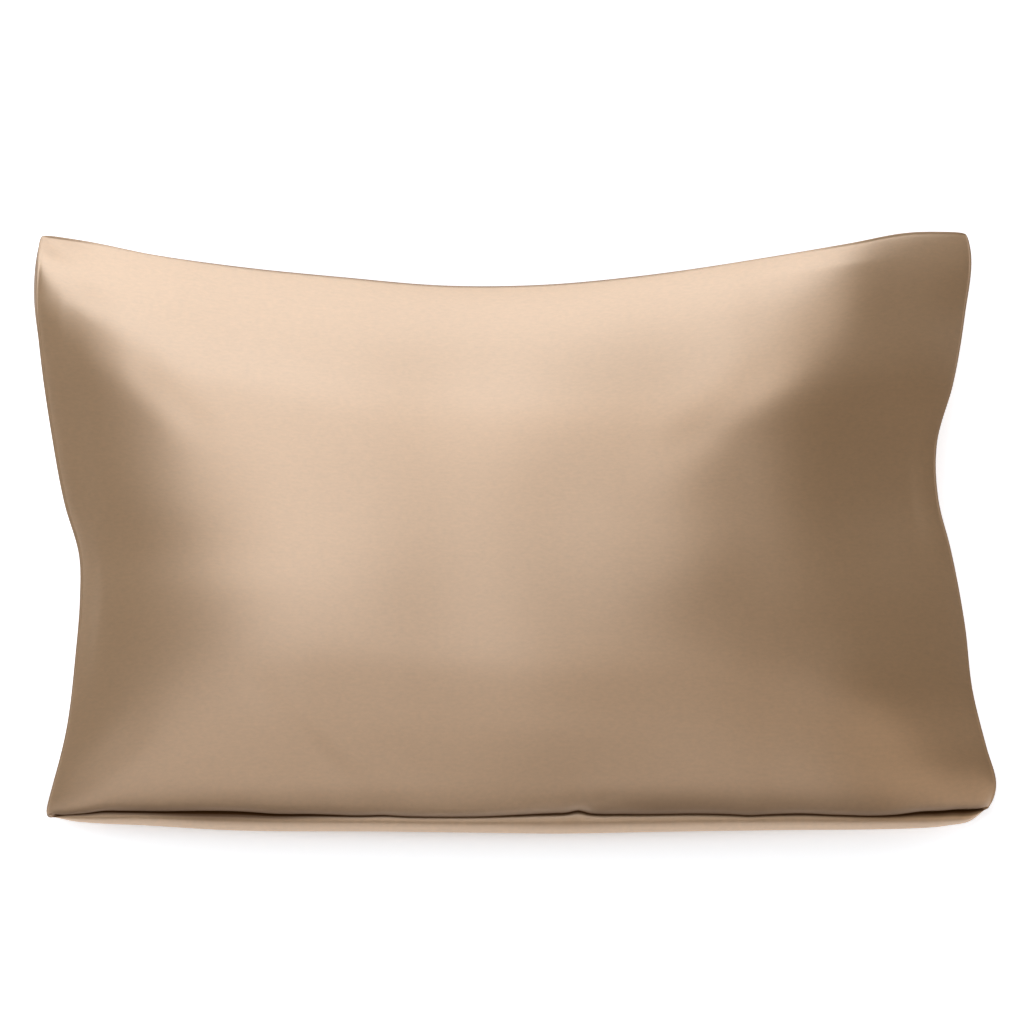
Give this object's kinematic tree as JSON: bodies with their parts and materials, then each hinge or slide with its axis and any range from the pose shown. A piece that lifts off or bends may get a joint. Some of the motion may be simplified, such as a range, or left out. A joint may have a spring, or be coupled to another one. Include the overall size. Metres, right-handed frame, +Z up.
{
  "type": "pillowcase",
  "caption": "Satin pillowcase filled by its pillow, lying flat, with a knife-edge seam, drawn-in sides, pointed corners and a soft crown.",
  "frame": {"origin": "middle of the footprint, on the surface that the case rests on", "axes": "+X along the long edges, +Y towards the upper long edge, +Z up out of the front panel"},
  "size_m": [0.7598, 0.4818, 0.1233],
  "materials": {
    "satin": "champagne satin weave, smooth with a soft broad sheen"
  },
  "bodies": {
    "root": {"pillowcase": "satin"}
  },
  "joints": []
}
